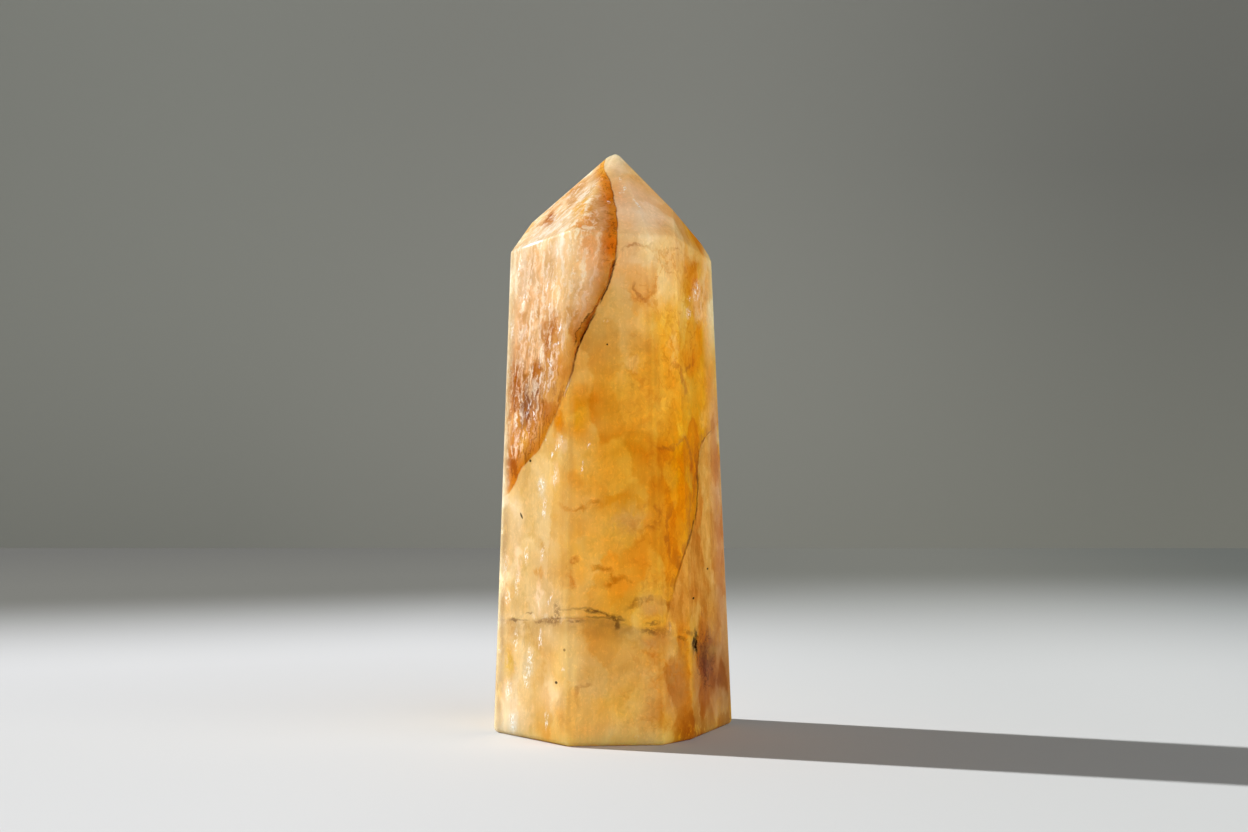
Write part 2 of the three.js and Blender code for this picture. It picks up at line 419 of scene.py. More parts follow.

# The stain at the lower right and the amber of the base, with painted shade and glow:
# colour, middle and half sizes, strength.
FOOT_STAIN = [
    ("B4743C", (17.5, -3, 13), (7.5, 10, 15), 0.9),
    (PLUM, (16.4, -3.4, 12.8), (3.6, 6, 6.4), 0.7),
    (PLUM, (15.2, -4.4, 13.2), (1.8, 4, 3.8), 0.7),
    (PLUM, (18.4, 1.0, 8.4), (2.4, 4, 2.8), 0.4),
    # Painted shade: the foot darker at the right, as of the shadowed table seen through it.
    ("A86014", (14, -9, 1.6), (12, 12, 6.4), 1.0),
    # Painted glow: the foot brighter at the front.
    ("F0AE58", (0, -17, 0.6), (11, 12, 3.6), 0.9),
    (PLUM, (15.2, -5.0, 21.4), (0.2, 4, 3.2), 0.7),
]

# Painted highlights: small pale glints and wisps, as of light off feathers inside the stone:
# middle, half sizes, lean to the right in degrees.
BODY_GLINTS = [
    ((-11.4, -13, 50.8), (0.3, 3, 1.0), -25),
    ((-9.4, -15.5, 49.6), (0.5, 3, 1.3), 18),
    ((-8.6, -16.3, 50.9), (0.35, 3, 0.9), -10),
    ((-10.4, -14.4, 48.2), (0.3, 3, 0.8), 20),
    ((-4.2, -17.6, 49.9), (0.3, 3, 0.7), 0),
    ((-5.2, -17.7, 46.4), (0.28, 3, 1.5), 10),
    ((-9.8, -15, 44.6), (0.5, 3, 2.2), 0),
    ((-12.3, -12, 43.2), (1.0, 3, 1.6), 0),
    ((-11.7, -13, 39.4), (0.5, 3, 2.4), 4),
    ((-19.6, -3, 35.1), (0.8, 3, 2.4), 10),
    ((-18.9, -4.3, 29.6), (0.9, 3, 3.4), 5),
    ((-18.4, -5.1, 23.6), (0.9, 3, 1.8), 0),
    ((-10.7, -14.6, 24.2), (0.32, 3, 1.8), 22),
    ((-19.7, -3.8, 14.4), (0.35, 3, 1.2), 22),
    ((-14.3, -10.3, 13.2), (0.7, 3, 3.6), 4),
    ((-15.0, -9.8, 10.2), (0.9, 3, 1.9), -10),
    ((-18.2, -5.8, 7.8), (1.0, 3, 2.4), 0),
    ((-17.4, -6.8, 2.6), (1.0, 3, 2.2), 0),
    ((-11.3, -14.3, 3.9), (0.45, 3, 2.4), 0),
    ((-8.4, -17, 12.7), (0.3, 3, 0.4), 0),
    ((-1.2, -17.1, 70.6), (0.5, 3, 0.4), 0),
    ((-16.6, -7.4, 26.0), (0.6, 3, 2.8), 6),
    ((-14.9, -9.4, 31.0), (0.5, 3, 2.4), 3),
    ((-12.4, -12.2, 17.4), (0.5, 3, 2.2), 5),
    ((-16.8, -7.2, 16.4), (0.6, 3, 2.6), 3),
    ((-12.0, -12.8, 31.6), (0.4, 3, 2.2), 8),
    ((14.2, -1.6, 76.4), (1.2, 3, 2.6), 12),
    ((12.6, -5.0, 72.4), (0.8, 3, 1.6), 12),
    ((12.9, -4.7, 74.9), (0.45, 3, 0.7), 0),
    ((1.0, -6.2, 95.4), (0.35, 3, 0.6), 0),
    ((1.7, -7.2, 93.5), (0.4, 3, 1.1), 20),
    ((1.1, -7.9, 92.7), (0.45, 3, 0.5), 0),
    ((4.0, -9.4, 90.6), (0.3, 3, 2.2), -35),
    ((3.9, -18, 1.5), (0.4, 3, 0.4), 0),
]
# Painted highlights in the healed fracture, given in the same way.
VEIL_GLINTS = [
    ((-12.8, -7.5, 84.4), (0.22, 3, 4.6), 76),
    ((-10.1, -14, 77.0), (0.3, 3, 1.9), 24),
    ((-11.3, -13, 76.4), (0.3, 3, 1.4), 20),
    ((-10.9, -13.3, 73.4), (0.3, 3, 1.3), 10),
    ((-9.0, -15.5, 69.2), (0.3, 3, 1.6), 16),
    ((-9.6, -15, 66.9), (0.3, 3, 1.3), 65),
    ((-6.6, -15.5, 78.4), (0.4, 3, 0.5), 0),
    ((-16.2, -6.3, 80.4), (0.4, 3, 2.6), 8),
    ((-15.3, -7.6, 74.6), (0.5, 3, 2.2), 12),
    ((-17.7, -4.8, 69.6), (0.6, 3, 3.0), 0),
    ((-12.6, -12, 63.4), (0.35, 3, 0.8), 20),
    ((-10.9, -13.6, 63.8), (0.22, 3, 1.6), -20),
    ((-14.5, -9.4, 56.0), (0.3, 3, 2.4), 18),
    ((-13.6, -10.4, 55.0), (0.25, 3, 1.6), -16),
    ((-18.5, -4, 62.4), (0.8, 3, 4.4), 0),
    ((-18.7, -4, 56.2), (0.8, 3, 3.0), 0),
    ((-18.9, -4, 50.2), (0.8, 3, 3.6), 10),
    ((-3.4, -6.9, 94.4), (0.35, 3, 0.5), 0),
    ((-5.6, -7.6, 90.8), (0.5, 3, 0.6), 0),
    ((-0.9, -9.6, 91.0), (0.35, 3, 0.4), 0),
]

# Dark mineral specks, given in the same way.
SPECKS = [
    ((-8.2, -18, 16.0), (0.26, 3, 0.3), 0),
    ((-9.6, -16.5, 10.4), (0.3, 3, 0.3), 0),
    ((-14.2, -10, 47.2), (0.26, 3, 0.3), 0),
    ((-15.8, -8, 37.8), (0.2, 3, 0.7), -24),
    ((13.5, -8.4, 23.8), (0.24, 3, 0.26), 0),
    ((16.2, -2, 28.3), (0.22, 3, 0.24), 0),
    ((-1.1, -17.5, 66.7), (0.18, 3, 0.2), 0),
]

# Dirt drawn into the level crack, given in the same way.
CRACK_DIRT = [
    ((-19.6, -3, 19.7), (1.6, 5, 0.5), 90),
    ((-17.2, -7, 19.9), (0.6, 5, 1.2), 80),
    ((-14.3, -11, 21.4), (0.3, 5, 1.2), 84),
    ((-12.6, -12, 20.2), (0.4, 5, 1.3), 88),
    ((-10.2, -15, 20.6), (1.0, 5, 2.8), 84),
    ((-9.4, -16, 22.0), (0.9, 5, 2.8), -8),
    ((-6.6, -18, 20.8), (0.4, 5, 2.0), 88),
    ((-3.4, -18, 22.4), (0.5, 5, 2.4), 100),
    ((-1.3, -18, 22.0), (0.5, 5, 1.2), 110),
    ((0.4, -18, 21.2), (0.8, 5, 2.0), 105),
    ((0.6, -18, 20.0), (0.7, 5, 1.0), 0),
    ((6.2, -18, 19.0), (0.9, 5, 2.6), 95),
    ((8.2, -16, 18.8), (1.3, 5, 3.2), 95),
    ((6.8, -17, 20.4), (0.6, 5, 2.0), 82),
    ((12.6, -10, 18.2), (0.6, 5, 1.8), 115),
    ((9.3, -15, 19.6), (0.4, 5, 1.5), -4),
    ((11.4, -13, 17.4), (0.5, 5, 1.6), 110),
]


def body_colour(tree, slow, fine):
    """Honey quartz, pale on one side and amber on the other, with clouds and iron threads."""
    across = add(tree, "SeparateXYZ", {0: slow})
    colour = toned(tree, across.outputs[0], [(-18, STRAW), (-8.8, SAND), (0, HONEY), (8, GOLD), (16, AMBER)])
    for code, middle, half_sizes, strength in BODY_CLOUDS:
        colour = laid_over(tree, colour, code, patch(tree, slow, middle, half_sizes, soft=0.8), strength)
    feathers = cotton(tree, fine, 1.0, 0.26, 0.54, 2.2, 3, seed=51)
    for code, middle, half_sizes, strength in BODY_MARKS:
        mask = overlap(tree, patch(tree, fine, middle, half_sizes, soft=0.8), feathers)
        colour = laid_over(tree, colour, code, mask, strength)
    broken = cotton(tree, fine, 2.2, 0.34, 0.56, seed=33)
    for code, middle, half_sizes, thickness, spot, spot_sizes, strength in THREADS:
        mask = overlap(tree, ring(tree, fine, middle, half_sizes, 1.6 * thickness),
                       patch(tree, fine, spot, spot_sizes, soft=0.5), broken)
        colour = laid_over(tree, colour, code, mask, strength)
    return webbed(tree, colour, fine, broken, across)


def webbed(tree, colour, fine, broken, across):
    """Fine iron threads that wander between the clouds on the amber side."""
    right = overlap(tree, add(tree, "MapRange", {0: across.outputs[0], 1: -2, 2: 9}, **SMOOTH),
                    add(tree, "MapRange", {0: across.outputs[2], 1: 88, 2: 80}, **SMOOTH))
    for size, thickness, seed in ((7.0, 0.030, 2), (4.2, 0.030, 5)):
        start = add(tree, "VectorMath", {0: fine, 1: (seed, 3 * seed, 2 * seed)}, operation="ADD")
        curls = add(tree, "TexNoise", {"Vector": start, "Scale": 1 / size, "Detail": 3, "Roughness": 0.5})
        level = add(tree, "Math", {0: curls.outputs[0], 1: -0.5}, operation="ADD")
        threads = overlap(tree, near(tree, level, thickness), broken, right)
        colour = laid_over(tree, colour, "CC7C12", threads, 0.4)
    return colour


def glints(tree, colour, place, places, code, strength):
    """Painted highlights off tiny feathers and flats in the stone: streaks drawn wide enough to show."""
    frayed = drifted(tree, place, 1.1, 0.5, seed=9)
    streaks = cotton(tree, frayed, 0.26, 0.48, 0.60, 3.4, 4, seed=21, lean=12)
    mask = overlap(tree, spots(tree, frayed, places, 0.8), streaks)
    return laid_over(tree, colour, code, mask, strength)


def veil_colour(tree, place, slow, fine, side, z):
    """The healed fracture: milky, faintly rosy stone, brushed with rust beside the crack."""
    low_part = add(tree, "MapRange", {0: z, 1: 78, 2: 54}, **SMOOTH)
    colour = add(tree, "Mix", {0: low_part, 6: "D8A970", 7: "C07A1C"}, data_type="RGBA")
    milk = overlap(tree, cotton(tree, slow, 5, 0.40, 0.62, 1.6, seed=3),
                   add(tree, "MapRange", {0: z, 1: 46, 2: 70}, **SMOOTH))
    colour = laid_over(tree, colour, CREAM, milk, 0.65)
    feathers = cotton(tree, fine, 1.0, 0.24, 0.54, 3.2, 3, seed=52, lean=8)
    for code, middle, half_sizes, strength in VEIL_MARKS:
        mask = overlap(tree, patch(tree, fine, middle, half_sizes, soft=0.7), feathers)
        colour = laid_over(tree, colour, code, mask, strength)
    brushed = cotton(tree, fine, 1.3, 0.44, 0.66, 6, seed=12, lean=12)
    colour = laid_over(tree, colour, RUST, overlap(tree, brushed, low_part), 0.6)

    beside = overlap(tree, add(tree, "MapRange", {0: side, 1: 5.5, 2: 0.6}, **SMOOTH),
                     cotton(tree, fine, 3, 0.26, 0.52, 2, seed=8, lean=20))
    colour = laid_over(tree, colour, "CE8C38", beside, 0.75)
    rim = overlap(tree, add(tree, "MapRange", {0: side, 1: 1.8, 2: 0.2}, **SMOOTH),
                  cotton(tree, fine, 2, 0.30, 0.54, 3, seed=18, lean=20))
    colour = laid_over(tree, colour, ORANGE, rim, 0.8)
    band = overlap(tree, add(tree, "MapRange", {0: side, 1: 3.2, 2: 1.0}, **SMOOTH),
                   add(tree, "MapRange", {0: z, 1: 78, 2: 82}, **SMOOTH),
                   cotton(tree, fine, 2.0, 0.30, 0.48, 1.8, seed=44))
    colour = laid_over(tree, colour, "DC861C", band, 0.9)
    scars = overlap(tree, band, cotton(tree, fine, 0.6, 0.52, 0.60, 1.4, 4, seed=46))
    colour = laid_over(tree, colour, "A05C14", scars, 0.7)
    seam = overlap(tree, near(tree, side, 0.4), add(tree, "MapRange", {0: z, 1: 79, 2: 82}, **SMOOTH),
                   cotton(tree, place, 1.5, 0.30, 0.55, 2, seed=48))
    colour = laid_over(tree, colour, "7E4410", seam, 0.8)

    strands = overlap(tree, cotton(tree, fine, 0.9, 0.46, 0.64, 7, seed=6, lean=14),
                      add(tree, "MapRange", {0: side, 1: 1.0, 2: 5.0}, **SMOOTH))
    colour = laid_over(tree, colour, "FAEAD2", strands, 0.7)
    fibres = overlap(tree, cotton(tree, fine, 0.7, 0.50, 0.62, 9, seed=16, lean=12), low_part)
    colour = laid_over(tree, colour, DARK_RUST, fibres, 0.6)

    flake = traced(tree, z, [(65.6, 0), (67.4, 0.8), (69.8, 1.4), (72.2, 0.7), (74, 0)])
    ragged = add(tree, "Math", {0: cotton(tree, place, 0.9, 0, 1, detail=3, seed=35), 1: 1.2, 2: side},
                 operation="MULTIPLY_ADD")
    centred = add(tree, "Math", {0: ragged, 1: -0.6}, operation="ADD")
    from_flake = add(tree, "Math", {0: centred, 1: flake}, operation="SUBTRACT")
    in_flake = add(tree, "MapRange", {0: from_flake, 1: 0.02, 2: -0.12}, **SMOOTH)
    colour = laid_over(tree, colour, "C07A22", in_flake, 0.8)
    edge = overlap(tree, near(tree, from_flake, 0.15),
                   add(tree, "MapRange", {0: z, 1: 66, 2: 67}, **SMOOTH),
                   add(tree, "MapRange", {0: z, 1: 74, 2: 73}, **SMOOTH))
    colour = laid_over(tree, colour, "7A4A14", edge, 0.8)
    loops = overlap(tree, ring(tree, fine, (-18.2, -4.8, 43.4), (1.7, 8, 3.6), 0.3),
                    add(tree, "MapRange", {0: z, 1: 52, 2: 46}, **SMOOTH))
    colour = laid_over(tree, colour, RUST, loops, 0.9)
    # Painted highlight: a thin white line where the left tip facet meets the left face.
    arris = patch(tree, place, (-12.8, -8, 84.3), (0.3, 4, 4.2), 76)
    colour = laid_over(tree, colour, WHITE, arris, 0.9)
    return glints(tree, colour, place, VEIL_GLINTS, WHITE, 1.0)


def level_crack(tree, colour, place, fine, x, y, z, zf):
    """The crack that crosses the stone near its foot: a dirty line with a brown haze."""
    height = traced(tree, x, [
        (-22, 21.2), (-9, 21.2), (-1, 21.2), (0.9, 20.6), (5.9, 19.3), (9.6, 18.4), (13.3, 17.7), (22, 16.0)])
    from_front = add(tree, "Math", {0: y, 1: 17.8}, operation="ADD")
    level = add(tree, "Math", {0: from_front, 1: 0.11, 2: z}, operation="MULTIPLY_ADD")
    above = add(tree, "Math", {0: level, 1: height}, operation="SUBTRACT")
    wander = add(tree, "Math", {0: zf, 1: z}, operation="SUBTRACT")
    ragged = add(tree, "Math", {0: wander, 1: 0.45, 2: above}, operation="MULTIPLY_ADD")
    haze = overlap(tree, add(tree, "MapRange", {0: ragged, 1: 0.5, 2: -0.6}, **SMOOTH),
                   add(tree, "MapRange", {0: ragged, 1: -5.0, 2: -0.5}, **SMOOTH),
                   cotton(tree, fine, 5, 0.30, 0.62, seed=31))
    colour = laid_over(tree, colour, "B88A48", haze, 0.7)
    milk = overlap(tree, near(tree, ragged, 1.4), cotton(tree, fine, 1.6, 0.52, 0.62, seed=2),
                   add(tree, "MapRange", {0: x, 1: -5, 2: -9}, **SMOOTH))
    colour = laid_over(tree, colour, MILK, milk, 0.5)
    frayed = drifted(tree, place, 1.2, 0.6, seed=15)
    dirt = overlap(tree, spots(tree, frayed, CRACK_DIRT, 0.7),
                   cotton(tree, frayed, 0.7, 0.34, 0.54, 0.6, detail=4, seed=25))
    colour = laid_over(tree, colour, UMBER, dirt, 0.65)
    line = overlap(tree, near(tree, ragged, 0.26), cotton(tree, place, 2.2, 0.40, 0.60, 0.3, seed=19),
                   add(tree, "MapRange", {0: x, 1: 3, 2: 0}, **SMOOTH))
    colour = laid_over(tree, colour, UMBER, line, 0.4)
    branch = traced(tree, x, [
        (-10.5, 24.4), (-9.0, 22.8), (-5.6, 22.9), (-3.4, 22.7), (-0.4, 21.4), (1.2, 20.2)])
    from_branch = add(tree, "Math", {0: level, 1: branch}, operation="SUBTRACT")
    from_branch = add(tree, "Math", {0: wander, 1: 0.6, 2: from_branch}, operation="MULTIPLY_ADD")
    strokes = overlap(tree, near(tree, from_branch, 0.28),
                      add(tree, "MapRange", {0: x, 1: -10.4, 2: -9.2}, **SMOOTH),
                      add(tree, "MapRange", {0: x, 1: 1.4, 2: 0.6}, **SMOOTH),
                      cotton(tree, place, 1.8, 0.36, 0.50, 0.4, seed=41))
    return laid_over(tree, colour, UMBER, strokes, 0.35)


def right_fracture(tree, colour, place, fine, x, z, xf):
    """The fracture at the right: tan stone behind a dark hairline."""
    line = traced(tree, z, [
        (18, 8.3), (23.1, 9.3), (25.7, 10.0), (30.5, 11.5), (32.9, 12.4), (36.2, 13.5), (40.3, 14.3),
        (48.1, 14.5), (50.6, 15.5), (53.2, 18.2), (56, 22)])
    sway = add(tree, "Math", {0: xf, 1: x}, operation="SUBTRACT")
    wander = add(tree, "Math", {0: sway, 1: 0.3, 2: x}, operation="MULTIPLY_ADD")
    past = add(tree, "Math", {0: wander, 1: line}, operation="SUBTRACT")
    reach = overlap(tree, add(tree, "MapRange", {0: z, 1: 57, 2: 54}, **SMOOTH),
                    add(tree, "MapRange", {0: z, 1: 14, 2: 24}, **SMOOTH))
    beside = overlap(tree, add(tree, "MapRange", {0: past, 1: -3.0, 2: -0.2}, **SMOOTH),
                     add(tree, "MapRange", {0: past, 1: 0.2, 2: 0.0}, **SMOOTH),
                     cotton(tree, fine, 1.4, 0.40, 0.62, 2.5, seed=14), reach)
    colour = laid_over(tree, colour, RUST, beside, 0.7)
    mottle = cotton(tree, fine, 1.6, 0.34, 0.66, 2.4, 4, seed=13)
    tan = add(tree, "Mix", {0: mottle, 6: "C88834", 7: "DCA04A"}, data_type="RGBA")
    behind = add(tree, "MapRange", {0: past, 1: -0.1, 2: 0.4}, **SMOOTH)
    colour = laid_over(tree, colour, tan, overlap(tree, behind, reach), 0.9)
    hairline = overlap(tree, near(tree, past, 0.24), reach, cotton(tree, place, 3, 0.36, 0.52, 3, seed=29),
                       add(tree, "MapRange", {0: z, 1: 20, 2: 34}, **SMOOTH))
    return laid_over(tree, colour, UMBER, hairline, 0.65)


def foot_stain(tree, colour, fine):
    """The purple-brown stain at the lower right, its scribbles, and the amber base with painted shade and
    glow.
    """
    feathers = cotton(tree, fine, 1.2, 0.22, 0.52, 1.5, 3, seed=53)
    for code, middle, half_sizes, strength in FOOT_STAIN:
        mask = overlap(tree, patch(tree, fine, middle, half_sizes, soft=0.8), feathers)
        colour = laid_over(tree, colour, code, mask, strength)
    curls = add(tree, "TexNoise", {"Vector": fine, "Scale": 0.5, "Detail": 4, "Roughness": 0.6})
    level = add(tree, "Math", {0: curls.outputs[0], 1: -0.5}, operation="ADD")
    scribbles = overlap(tree, near(tree, level, 0.03), patch(tree, fine, (15.6, -4, 13), (5, 8, 8)))
    return laid_over(tree, colour, "5E3828", scribbles, 0.6)


def deepened(tree, colour, place, slow, fine):
    """Colour deeper or paler in lumps and grown cells, with painted light and shade as of light pooling
    inside.
    """
    lumps = add(tree, "TexNoise", {"Vector": slow, "Scale": 0.16, "Detail": 1.5, "Roughness": 0.5})
    tall = add(tree, "Mapping", {"Vector": fine, "Scale": (0.2, 0.2, 0.13)})
    cells = add(tree, "TexVoronoi", {"Vector": tall, "Scale": 1, "Smoothness": 0.25}, feature="SMOOTH_F1")
    one, other, _ = add(tree, "SeparateXYZ", {0: cells.outputs["Color"]}).outputs
    depth = add(tree, "Math", {0: lumps.outputs[0], 1: -0.8, 2: 1.2}, operation="MULTIPLY_ADD")
    depth = add(tree, "Math", {0: one, 1: 0.45, 2: depth}, operation="MULTIPLY_ADD")
    colour = add(tree, "Gamma", {0: colour, 1: depth})
    # Painted light and shade: lumps lit from the upper left, large and small.
    big = relief(tree, slow, 6, 2, 1.2, seed=3)
    small = relief(tree, fine, 1.5, 3, 1.6, seed=11)
    busy = cotton(tree, slow, 9, 0.44, 0.60, 1.5, 2, seed=27)
    striae = cotton(tree, place, 0.5, 0.30, 0.70, 22, 3, seed=17)
    shade = add(tree, "Math", {0: big, 1: 0.25, 2: 0.915}, operation="MULTIPLY_ADD")
    shade = add(tree, "Math", {0: other, 1: 0.10, 2: shade}, operation="MULTIPLY_ADD")
    shade = add(tree, "Math", {0: overlap(tree, small, busy), 1: 0.5, 2: shade}, operation="MULTIPLY_ADD")
    shade = add(tree, "Math", {0: striae, 1: 0.05, 2: shade}, operation="MULTIPLY_ADD")
    # Painted sparkle: tiny pale flecks that brighten the colour.
    flecks = cotton(tree, fine, 0.4, 0.54, 0.66, 1.8, 2, seed=81)
    shade = add(tree, "Math", {0: flecks, 1: 0.10, 2: shade}, operation="MULTIPLY_ADD")
    return add(tree, "VectorMath", {0: colour, "Scale": shade}, operation="SCALE")


def healed_fracture(tree, colour, place, slow, fine, x, y, z, xf, zf):
    """The veil, laid over all that is left of the crack that wanders down the front."""
    line = traced(tree, z, [
        (38, -21), (40.3, -19.4), (42.4, -17.4), (45.6, -15.8), (49.1, -12.6), (53.3, -10.5),
        (58.8, -8.1), (63.3, -6.6), (67.1, -5.6), (69.9, -4.1), (73.2, -2.4), (79.9, 0.1),
        (84.9, 0.7), (91.5, 0.2), (97.8, -1.6), (102, -4)])
    from_middle = add(tree, "Math", {0: y, 1: 2}, operation="ADD")
    behind = add(tree, "Math", {0: from_middle, 1: 0}, operation="MAXIMUM")
    shifted = add(tree, "Math", {0: behind, 1: 0.35, 2: line}, operation="MULTIPLY_ADD")
    sway = add(tree, "Math", {0: xf, 1: x}, operation="SUBTRACT")
    wander = add(tree, "Math", {0: sway, 1: 0.34, 2: x}, operation="MULTIPLY_ADD")
    side = add(tree, "Math", {0: shifted, 1: wander}, operation="SUBTRACT")
    in_veil = overlap(tree, add(tree, "MapRange", {0: side, 1: -0.05, 2: 0.25}, **SMOOTH),
                      add(tree, "MapRange", {0: zf, 1: 38, 2: 40}, **SMOOTH))
    colour = laid_over(tree, colour, veil_colour(tree, place, slow, fine, side, z), in_veil)
    crevice = overlap(tree, near(tree, side, 0.24), cotton(tree, place, 1.6, 0.34, 0.50, 2, seed=37),
                      add(tree, "MapRange", {0: z, 1: 48, 2: 66}, **SMOOTH),
                      add(tree, "MapRange", {0: z, 1: 83, 2: 79}, **SMOOTH))
    return laid_over(tree, colour, "5E2E0C", crevice, 0.9)


def edges_painted_light(tree, colour, fine, x, z):
    """Painted light and shade on the round edges and the foot, for the light that comes through them."""
    # Painted shade: a greyer tone that damps the glow of the lit left edge.
    from_left = add(tree, "Math", {0: z, 1: -0.028, 2: x}, operation="MULTIPLY_ADD")
    left_rim_shade = overlap(tree, add(tree, "MapRange", {0: from_left, 1: -18.6, 2: -20.2}, **SMOOTH),
                       cotton(tree, fine, 3, 0.26, 0.50, 2.4, seed=71))
    colour = laid_over(tree, colour, "B09A78", left_rim_shade, 0.85)
    # Painted shade on the two front arrises, below the tip.
    for lean, at, code in ((-0.008, 8.1, "C48E48"), (0.031, -8.5, "BE7618")):
        from_arris = add(tree, "Math", {0: z, 1: lean, 2: x}, operation="MULTIPLY_ADD")
        arris = overlap(tree, near(tree, add(tree, "Math", {0: from_arris, 1: at}, operation="ADD"), 1.6),
                        add(tree, "MapRange", {0: z, 1: 84, 2: 74}, **SMOOTH))
        colour = laid_over(tree, colour, code, arris, 0.4)
    # Painted light and shade on the right edge: darker near the foot, paler up towards the tip.
    from_right = add(tree, "Math", {0: z, 1: 0.034, 2: x}, operation="MULTIPLY_ADD")
    right_rim_light_and_shade = overlap(tree, add(tree, "MapRange", {0: from_right, 1: 17.4, 2: 19.8}, **SMOOTH),
                        cotton(tree, fine, 3, 0.22, 0.46, 2.4, seed=73))
    painted_rim_tone = toned(tree, z, [
        (2, "8E5A28"), (14, "AE7846"), (30, "C4885A"), (54, "C4885A"), (64, "E4AC58"), (72, "F6D49C"),
        (86, "ECC48C")])
    colour = laid_over(tree, colour, painted_rim_tone, right_rim_light_and_shade, 0.8)
    # Painted glow: a brighter foot at the front.
    foot = overlap(tree, add(tree, "MapRange", {0: z, 1: 4.0, 2: 0.4}, **SMOOTH),
                   add(tree, "MapRange", {0: x, 1: 11, 2: 6}, **SMOOTH),
                   add(tree, "MapRange", {0: x, 1: -17, 2: -10}, **SMOOTH))
    return laid_over(tree, colour, "FFB860", foot, 0.8)


def quartz_material():
    """Macrocrystalline quartz with iron stain, sawn, lapped and polished.

    To the eye it is cloudy and glows softly, under a skin that is smooth and only a little glossy.
    """
    material, tree, shader = new_material("golden healer quartz, lapped and polished")
    place = add(tree, "VectorMath", {0: add(tree, "TexCoord").outputs["Object"], "Scale": 1 / MM},
                operation="SCALE")
    slow = drifted(tree, place, 9, 4, seed=2)
    fine = drifted(tree, place, 2.2, 1.3, seed=5)
    x, y, z = add(tree, "SeparateXYZ", {0: place}).outputs
    xf, _, zf = add(tree, "SeparateXYZ", {0: fine}).outputs

    colour = body_colour(tree, slow, fine)
    colour = foot_stain(tree, colour, fine)
    colour = level_crack(tree, colour, place, fine, x, y, z, zf)
    colour = right_fracture(tree, colour, place, fine, x, z, xf)
    # Painted highlights in the body.
    colour = glints(tree, colour, place, BODY_GLINTS, "FFFFF6", 1.0)
    colour = laid_over(tree, colour, SOOT, spots(tree, place, SPECKS), 0.9)
    # Painted shade: near-black inside the vug.
    vug_shade = patch(tree, fine, (13.7, -8.5, 16.4), (0.6, 3, 2.6))
    colour = laid_over(tree, colour, "241004", vug_shade, 0.95)
    colour = healed_fracture(tree, colour, place, slow, fine, x, y, z, xf, zf)
    colour = edges_painted_light(tree, colour, fine, x, z)
    colour = deepened(tree, colour, place, slow, fine)

    tree.links.new(colour.outputs[0], shader.inputs["Base Color"])
    shader.inputs["IOR"].default_value = QUARTZ_IOR
    shader.inputs["Specular IOR Level"].default_value = 0.18
    shader.inputs["Subsurface Weight"].default_value = 1.0
    shader.inputs["Subsurface Radius"].default_value = (1.0, 0.9, 0.8)
    shader.inputs["Subsurface Scale"].default_value = GLOW_DEPTH * MM
    polish = cotton(tree, place, 4, 0.3, 0.7, 2, 3, seed=61)
    roughness = add(tree, "MapRange", {0: polish, 3: 0.10, 4: 0.20})
    tree.links.new(roughness.outputs[0], shader.inputs["Roughness"])
    swells = cotton(tree, place, 1.6, 0.3, 0.7, 3, 4, seed=62)
    ripple = add(tree, "Bump", {"Strength": 0.06, "Distance": 0.2 * MM, "Height": swells})
    tree.links.new(ripple.outputs[0], shader.inputs["Normal"])
    return material


# ======== Openings in the surface: millimetres ==============================================

# Cracks that are open at the surface: place across, height, reach of the lip to the left and to
# the right, depth.
HEALED_CRACK = [
    (0.1, 80.9, 0.05, 0.05, 0.10),
    (-0.1, 80.1, 0.55, 0.30, 0.80),
    (-0.5, 79.2, 0.45, 0.25, 0.90),
    (-0.9, 77.9, 0.15, 0.12, 0.50),
    (-1.5, 76.4, 0.12, 0.10, 0.45),
    (-2.6, 74.0, 0.14, 0.10, 0.45),
    (-3.2, 72.8, 0.45, 0.10, 0.50),
    (-3.9, 71.2, 0.80, 0.10, 0.55),
    (-4.4, 70.1, 0.95, 0.12, 0.60),
    (-4.9, 68.7, 0.75, 0.12, 0.60),
    (-5.5, 67.4, 0.35, 0.12, 0.50),
    (-6.1, 66.4, 0.40, 0.25, 0.60),
    (-6.5, 65.3, 0.20, 0.12, 0.45),
    (-6.8, 63.6, 0.12, 0.10, 0.40),
    (-7.4, 61.2, 0.10, 0.08, 0.30),
    (-8.4, 58.0, 0.04, 0.04, 0.10),
]
RIGHT_CRACK = [
    (17.2, 52.4, 0.04, 0.04, 0.10),
    (15.6, 50.7, 0.09, 0.08, 0.30),
    (14.6, 48.2, 0.12, 0.10, 0.40),
    (14.4, 44.5, 0.10, 0.10, 0.40),
    (14.2, 40.3, 0.10, 0.08, 0.35),
    (13.5, 36.2, 0.08, 0.08, 0.30),
    (12.4, 32.9, 0.04, 0.04, 0.10),
]
FOOT_CRACKS = [
    [(-19.4, 19.7, 0.03, 0.03, 0.05), (-18, 20.0, 0.05, 0.05, 0.15), (-15.6, 20.1, 0.03, 0.03, 0.05)],
    [(-13.0, 20.5, 0.03, 0.03, 0.05), (-10.4, 21.0, 0.05, 0.05, 0.15), (-6.2, 21.3, 0.055, 0.055, 0.25),
     (-4.2, 21.2, 0.03, 0.03, 0.05)],
    [(-5.4, 22.6, 0.03, 0.03, 0.05), (-3.4, 22.6, 0.07, 0.07, 0.25), (-1.6, 22.0, 0.055, 0.055, 0.3),
     (0.4, 21.3, 0.03, 0.03, 0.05)],
    [(0.5, 21.9, 0.03, 0.03, 0.05), (0.6, 20.6, 0.07, 0.07, 0.25), (0.4, 19.6, 0.03, 0.03, 0.05)],
    [(9.2, 20.6, 0.03, 0.03, 0.05), (9.4, 19.6, 0.08, 0.07, 0.25), (9.3, 18.6, 0.03, 0.03, 0.05)],
]
